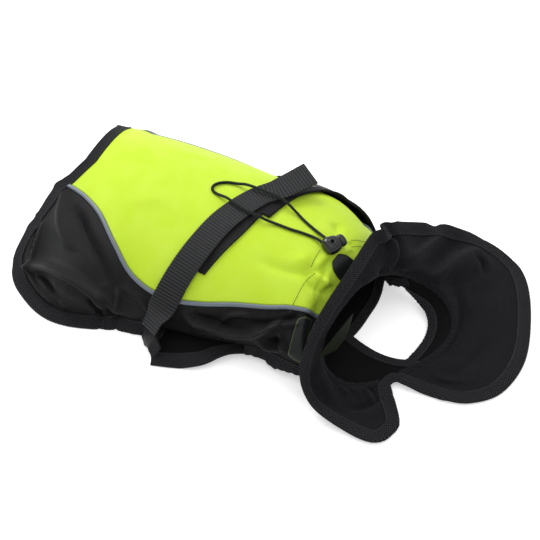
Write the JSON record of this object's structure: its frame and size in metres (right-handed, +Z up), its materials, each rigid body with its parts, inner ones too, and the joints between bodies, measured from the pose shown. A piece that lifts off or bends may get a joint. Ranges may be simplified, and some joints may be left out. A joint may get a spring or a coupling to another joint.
{
  "type": "dog winter coat",
  "caption": "Softshell winter coat for a small dog, filled out and hollow, lying on its belly with its wide collar open.",
  "frame": {"origin": "middle of the bounding box's base, on the surface that the belly rests on", "axes": "+X towards the dog's head, +Y towards its left side, +Z up"},
  "size_m": [0.5501, 0.3057, 0.1051],
  "materials": {
    "yellow_softshell": "smooth knit-faced softshell, neon yellow",
    "dark_softshell": "smooth charcoal softshell with a soft sheen",
    "grey_piping": "satin grey piping",
    "binding_tape": "matt herringbone twill tape",
    "ribbed_webbing": "matt ribbed elastic webbing",
    "collar_twill": "matt brushed twill",
    "braided_cord": "braided cord",
    "moulded_toggle": "glossy moulded plastic"
  },
  "bodies": {
    "root": {"back_panel": "yellow_softshell", "side_panel_near": "dark_softshell", "side_panel_far": "dark_softshell", "piping_near": "grey_piping", "piping_far": "grey_piping", "hem_tape": "binding_tape", "leg_tape_near": "binding_tape", "leg_tape_far": "binding_tape", "belly_band": "dark_softshell", "band_tape_rear": "binding_tape", "band_tape_near": "binding_tape", "band_tape_far": "binding_tape", "strap": "ribbed_webbing", "chest_panel": "dark_softshell", "chest_tape_near": "binding_tape", "chest_tape_far": "binding_tape", "throat_band": "dark_softshell", "throat_tape": "binding_tape", "collar": "collar_twill", "collar_tape": "binding_tape", "chest_tab": "dark_softshell", "leash_patch": "dark_softshell", "drawstring": "braided_cord", "toggle_body": "moulded_toggle", "toggle_button": "moulded_toggle"}
  },
  "joints": []
}
